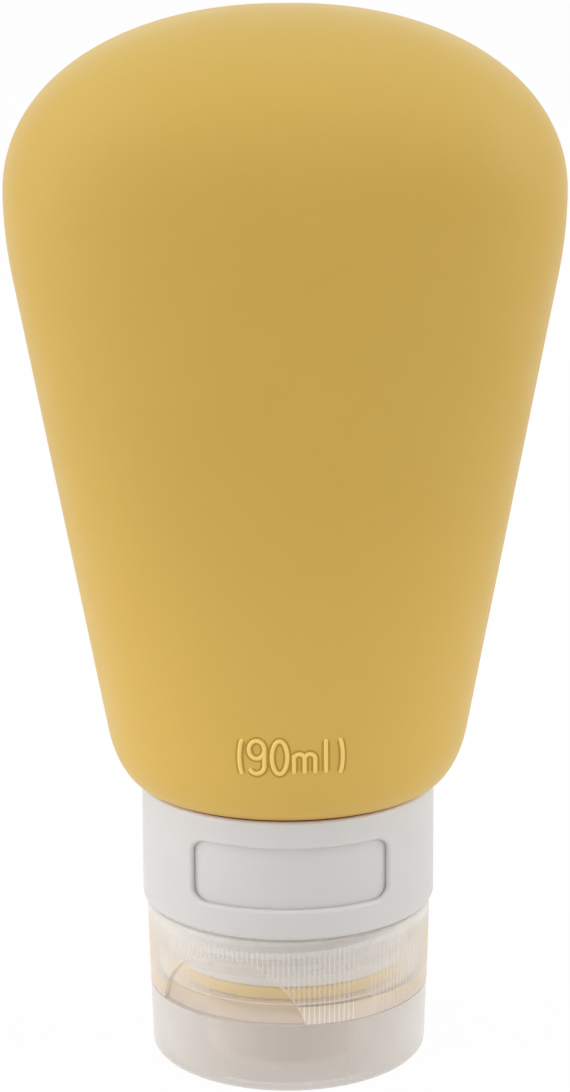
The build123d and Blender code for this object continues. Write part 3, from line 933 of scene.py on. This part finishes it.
# Plain ring behind the window: a closed band that lies close to the collar's bore

band = {
    "radius": 0.015325, "bore": 0.0135, "round": 0.0002, "roundSteps": 5, "columns": 240,
    "footZ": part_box("label_ring")[0].z, "topZ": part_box("label_ring")[1].z,
}


def labelBand():
    # a rounded rectangle (radius, height) turned about the axis
    bend, steps = band["round"], band["roundSteps"]
    outer, inner = band["radius"] - bend, band["bore"] + bend
    low, high = band["footZ"] + bend, band["topZ"] - bend
    corners = [(outer, low, -90), (outer, high, 0), (inner, high, 90), (inner, low, 180)]
    rows = np.concatenate([arc(radius, z, bend, start, start + 90, steps)
                           for radius, z, start in corners])
    turn = 2 * math.pi * np.arange(band["columns"]) / band["columns"]
    points = np.stack([rows[:, 0:1] * np.cos(turn), rows[:, 0:1] * np.sin(turn),
                       np.broadcast_to(rows[:, 1:2], (len(rows), len(turn)))], -1)
    piece = meshPiece("label_band", points, gridQuads(len(rows), band["columns"], closeRows=True),
                      sharpAngle=50)
    piece.data.materials.append(materials["whitePlastic"])
    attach(piece, "carrier")
    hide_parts("label_ring")


labelBand()
print("label band made")


# Finishes on the carried-over solids

nodeFinish = {
    "window_collar": ("whitePlastic", "white_plastic"),
    "neck_ring": ("neckPlasticPaintedLight", "white_plastic"),
    "flip_lid": ("clearLid", "clear_plastic"),
    "valve_retainer": ("clearPlastic", "clear_plastic"),
    "drip_valve": ("clearSilicone", "valve_silicone"),
}
for name, (finish, slot) in nodeFinish.items():
    for place in nodes[name].material_slots:
        place.material = materials[finish]
print("solids finished")


# Stage: pale floor, soft boxes, white surroundings and the camera

stage = {
    "floorHalf": 2.0, "floorZ": -0.00003, "floorColour": (0.90, 0.90, 0.90), "floorGlow": 0.97,
    "worldLight": 0.585, "worldSeen": 1.0,
    "lamps": {
        "leftBox": {"place": (-0.75, -0.18, 0.42), "size": (0.7, 0.9), "watts": 3.3},
        "rightBox": {"place": (0.75, -0.12, 0.40), "size": (0.7, 0.9), "watts": 3.0},
        "lowBox": {"place": (-0.70, -0.35, 0.08), "size": (0.6, 0.15), "watts": 0.4},
        "topBox": {"place": (0.0, 0.10, 0.95), "size": (0.8, 0.8), "watts": 0.3},
    },
    "aim": (0.0, 0.0, 0.065),
}


def seenShare(tree, share):
    # the share for rays that look at the stage itself, directly, by reflection or through clear
    # plastic, and 0 for the rays that only light the object
    path = addNode(tree, "ShaderNodeLightPath").outputs
    looking = addMath(tree, "MAXIMUM", path["Is Camera Ray"], path["Is Glossy Ray"])
    looking = addMath(tree, "MAXIMUM", looking, path["Is Transmission Ray"])
    return addMath(tree, "MULTIPLY", looking, share)


def paleFloor():
    # diffuse white that also glows for the camera, so it reads as white and keeps a shadow
    material = bpy.data.materials.new("paleFloor")
    material.use_nodes = True
    tree = material.node_tree
    tree.nodes.remove(tree.nodes["Principled BSDF"])
    matt = addNode(tree, "ShaderNodeBsdfDiffuse", Color=(*stage["floorColour"], 1))
    glow = addNode(tree, "ShaderNodeEmission", Color=(1, 1, 1, 1), Strength=1.0)
    mixShaders(tree, seenShare(tree, stage["floorGlow"]), matt.outputs[0], glow.outputs[0])
    half = stage["floorHalf"]
    corners = [(-half, -half), (half, -half), (half, half), (-half, half)]
    mesh = bpy.data.meshes.new("floor")
    mesh.from_pydata([(x, y, stage["floorZ"]) for x, y in corners], [], [(0, 1, 2, 3)])
    mesh.materials.append(material)
    floor = addObject("floor", mesh)


def whiteWorld():
    # plain white round the object: brighter to look at than it is as a light
    world = bpy.data.worlds.new("whiteRoom")
    bpy.context.scene.world = world
    world.use_nodes = True
    tree = world.node_tree
    background = tree.nodes["Background"]
    background.inputs["Color"].default_value = (1, 1, 1, 1)
    seen = seenShare(tree, stage["worldSeen"] - stage["worldLight"])
    strength = addMath(tree, "ADD", seen, stage["worldLight"])
    tree.links.new(strength, background.inputs["Strength"])


def softBoxes():
    for name, lamp in stage["lamps"].items():
        data = bpy.data.lights.new(name, "AREA")
        data.shape = "RECTANGLE"
        data.size, data.size_y = lamp["size"]
        data.energy = lamp["watts"]
        box = addObject(name, data)
        box.location = lamp["place"]
        box.rotation_mode = "QUATERNION"
        box.rotation_quaternion = (Vector(stage["aim"]) - box.location).to_track_quat("-Z", "Y")


# The photograph is 570 x 1092; focal length and shift are written in its pixels, the sensor in
# millimetres and the rest in metres and degrees
view = {
    "frameHeight": 1092, "focalPixels": 3848.2, "sensor": 36.0, "clip": (0.01, 20),
    "distance": 0.400, "height": 0.16607, "azimuthDegrees": -1.0, "pitchDegrees": 15.154,
    "rollDegrees": -0.271, "axisOffsetPixels": 1.74,
}


def addCamera():
    data = bpy.data.cameras.new("camera")
    data.sensor_fit = "AUTO"
    data.sensor_width = view["sensor"]
    data.lens = view["focalPixels"] / view["frameHeight"] * view["sensor"]
    data.shift_x = -view["axisOffsetPixels"] / view["frameHeight"]
    data.clip_start, data.clip_end = view["clip"]
    camera = addObject("camera", data)
    azimuth = math.radians(view["azimuthDegrees"])
    camera.location = (view["distance"] * math.sin(azimuth), -view["distance"] * math.cos(azimuth),
                       view["height"])
    turned = (Matrix.Rotation(azimuth, 3, "Z")
              @ Matrix.Rotation(math.radians(90 - view["pitchDegrees"]), 3, "X")
              @ Matrix.Rotation(math.radians(view["rollDegrees"]), 3, "Z"))
    camera.rotation_mode = "QUATERNION"
    camera.rotation_quaternion = turned.to_quaternion()
    bpy.context.scene.camera = camera


paleFloor()
whiteWorld()
softBoxes()
addCamera()
bpy.context.scene.view_settings.view_transform = "Standard"
print("stage, lamps and camera made")
